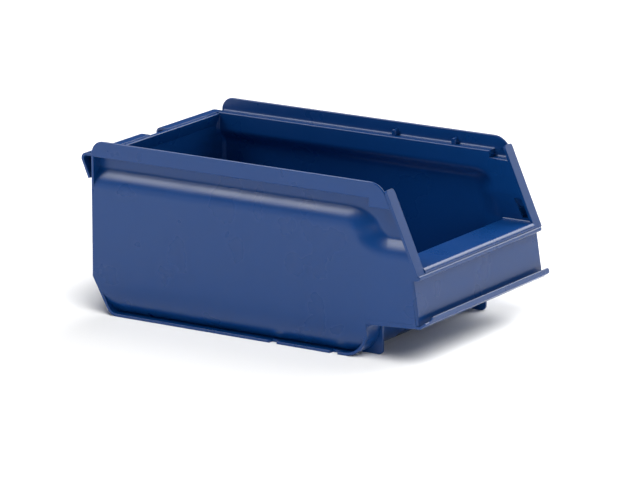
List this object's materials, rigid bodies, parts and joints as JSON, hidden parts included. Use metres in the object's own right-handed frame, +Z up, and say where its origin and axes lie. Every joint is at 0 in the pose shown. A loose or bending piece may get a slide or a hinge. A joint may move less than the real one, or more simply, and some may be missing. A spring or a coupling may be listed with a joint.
{
  "type": "stackable storage bin",
  "caption": "Open-fronted stackable storage bin with bulged sides, stepped stacking ledges and flanges, sloping front rims, a label holder and rear hanging hooks.",
  "frame": {"origin": "centre of the bounding box on the plane the bin stands on", "axes": "+Z up; the open picking front with the label holder faces -Y; the hanging hooks are at +Y; X is the width"},
  "size_m": [0.206, 0.35, 0.155],
  "materials": {
    "polypropylene": "satin moulded polypropylene, dark blue"
  },
  "bodies": {
    "root": {"back_wall": "polypropylene", "floor_panel": "polypropylene", "front_prow_panel": "polypropylene", "front_shelf": "polypropylene", "inner_front_wall": "polypropylene", "label_lip": "polypropylene", "label_lip_entry": "polypropylene", "label_panel": "polypropylene", "left_cheek_skirt": "polypropylene", "left_foot_rib": "polypropylene", "left_front_nub": "polypropylene", "left_front_rim": "polypropylene", "left_hanging_hook": "polypropylene", "left_ledge": "polypropylene", "left_lower_haunch": "polypropylene", "left_middle_haunch": "polypropylene", "left_rear_nub": "polypropylene", "left_shoulder": "polypropylene", "left_side_panel": "polypropylene", "left_stacking_flange": "polypropylene", "left_stacking_runner": "polypropylene", "left_upper_haunch": "polypropylene", "left_waist_wall": "polypropylene", "lower_front_bead": "polypropylene", "rear_rim": "polypropylene", "rear_slope_panel": "polypropylene", "right_cheek_skirt": "polypropylene", "right_foot_rib": "polypropylene", "right_front_nub": "polypropylene", "right_front_rim": "polypropylene", "right_hanging_hook": "polypropylene", "right_ledge": "polypropylene", "right_lower_haunch": "polypropylene", "right_middle_haunch": "polypropylene", "right_rear_nub": "polypropylene", "right_shoulder": "polypropylene", "right_side_panel": "polypropylene", "right_stacking_flange": "polypropylene", "right_stacking_runner": "polypropylene", "right_upper_haunch": "polypropylene", "right_waist_wall": "polypropylene", "upper_front_bead": "polypropylene"}
  },
  "joints": []
}
